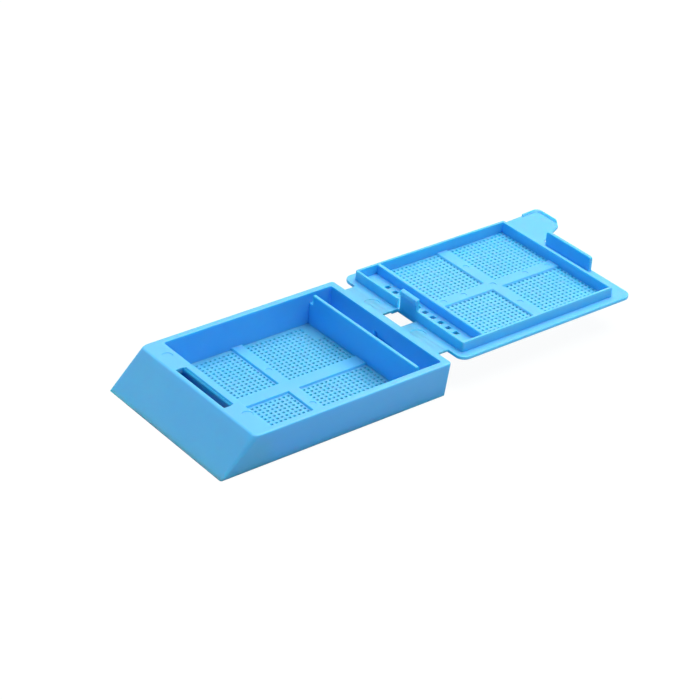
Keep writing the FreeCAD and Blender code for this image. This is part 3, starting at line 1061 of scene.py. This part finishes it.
@dataclass
class Studio:
    """The floor, the light and the camera. The floor and the lamp are given in metres."""

    target: Point = (18.2, 0.0, 3.0)
    azimuth: float = -40.855
    elevation: float = 31.012
    roll: float = 4.177
    distance: float = 342.82
    lens: float = 117.78
    shift: tuple[float, float] = (-0.0406, -0.0149)
    fill: tuple[float, float, float] = (0.02, 0.27, 0.28)
    backdrop: float = 0.92
    floor_grey: float = 0.6
    floor_white: float = 1.08
    floor_share: float = 0.88
    lamp_place: Point = (0.18, 0.03, 0.5)
    lamp_size: float = 0.5
    lamp_power: float = 4.15

    def floor(self) -> None:
        """A wide pale floor that keeps the cassette's soft shadow."""
        bpy.ops.object.select_all(action="DESELECT")
        bpy.ops.mesh.primitive_plane_add(size=6, location=(0, 0, 0))
        floor = bpy.context.object
        floor.name = "studio_floor"
        made = bpy.data.materials.new("pale_floor")
        made.use_nodes = True
        nodes, links = made.node_tree.nodes, made.node_tree.links
        nodes.remove(nodes["Principled BSDF"])
        out = nodes["Material Output"]
        seen = nodes.new("ShaderNodeLightPath")
        paint = nodes.new("ShaderNodeBsdfDiffuse")
        paint.inputs["Color"].default_value = (*[self.floor_grey] * 3, 1)
        white = nodes.new("ShaderNodeEmission")
        white.inputs["Strength"].default_value = self.floor_white
        share = nodes.new("ShaderNodeMath")
        share.operation = "MULTIPLY"
        share.inputs[1].default_value = self.floor_share
        shown = nodes.new("ShaderNodeMixShader")
        links.new(seen.outputs["Is Camera Ray"], share.inputs[0])
        links.new(share.outputs[0], shown.inputs["Fac"])
        links.new(paint.outputs[0], shown.inputs[1])
        links.new(white.outputs[0], shown.inputs[2])
        links.new(shown.outputs[0], out.inputs["Surface"])
        floor.data.materials.append(made)

    def light(self) -> None:
        """Soft light from above, and a pale world."""
        world = bpy.data.worlds.new("studio")
        world.use_nodes = True
        bpy.context.scene.world = world
        nodes, links = world.node_tree.nodes, world.node_tree.links
        seen = nodes.new("ShaderNodeLightPath")
        lit = nodes["Background"].outputs[0]
        nodes["Background"].inputs["Color"].default_value = (*self.fill, 1)
        for ray, strength in (("Is Glossy Ray", self.backdrop), ("Is Camera Ray", 1.0)):
            white = nodes.new("ShaderNodeBackground")
            white.inputs["Strength"].default_value = strength
            shown = nodes.new("ShaderNodeMixShader")
            links.new(seen.outputs[ray], shown.inputs["Fac"])
            links.new(lit, shown.inputs[1])
            links.new(white.outputs[0], shown.inputs[2])
            lit = shown.outputs[0]
        links.new(lit, nodes["World Output"].inputs["Surface"])
        bpy.ops.object.light_add(type="AREA", location=self.lamp_place)
        lamp = bpy.context.object
        lamp.name = "overhead"
        lamp.data.size = self.lamp_size
        lamp.data.energy = self.lamp_power
        lamp.rotation_euler = (-Vector(self.lamp_place)).to_track_quat("-Z", "Y").to_euler()

    def camera(self) -> None:
        """The camera at the view's angle."""
        azimuth, elevation = math.radians(self.azimuth), math.radians(self.elevation)
        back = Vector((math.sin(azimuth) * math.cos(elevation),
                       -math.cos(azimuth) * math.cos(elevation), math.sin(elevation)))
        bpy.ops.object.camera_add(location=(Vector(self.target) + back * self.distance) * MM)
        camera = bpy.context.object
        camera.name = "camera"
        roll = Matrix.Rotation(math.radians(self.roll), 3, "Z")
        camera.rotation_euler = (back.to_track_quat("Z", "Y").to_matrix() @ roll).to_euler()
        camera.data.lens = self.lens
        camera.data.sensor_width = 36
        camera.data.shift_x, camera.data.shift_y = self.shift
        camera.data.clip_start, camera.data.clip_end = 0.01, 10
        bpy.context.scene.camera = camera
        bpy.context.scene.view_settings.view_transform = "Standard"


def report(piece: Shape) -> None:
    """Logs one finished piece."""
    mesh = piece.obj.data
    mesh.calc_loop_triangles()
    LOG.info("%s: %d faces, %d triangles", piece.obj.name, len(mesh.polygons), len(mesh.loop_triangles))


def main() -> None:
    """Builds the pieces, dresses them and sets the studio."""
    logging.basicConfig(level=logging.INFO, format="%(message)s")
    studio = Studio()
    studio.camera()
    finish = SkyBluePlastic().material()
    tray, lid, strap = Tray().build(finish), Lid().build(finish), HingeStrap().build(finish)
    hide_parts("tray")
    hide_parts("lid")
    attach(tray.obj, "tray")
    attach(lid.obj, "lid")
    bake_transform(strap.obj)
    for piece in (tray, lid, strap):
        report(piece)
    studio.floor()
    studio.light()


if __name__ == "__main__":
    main()
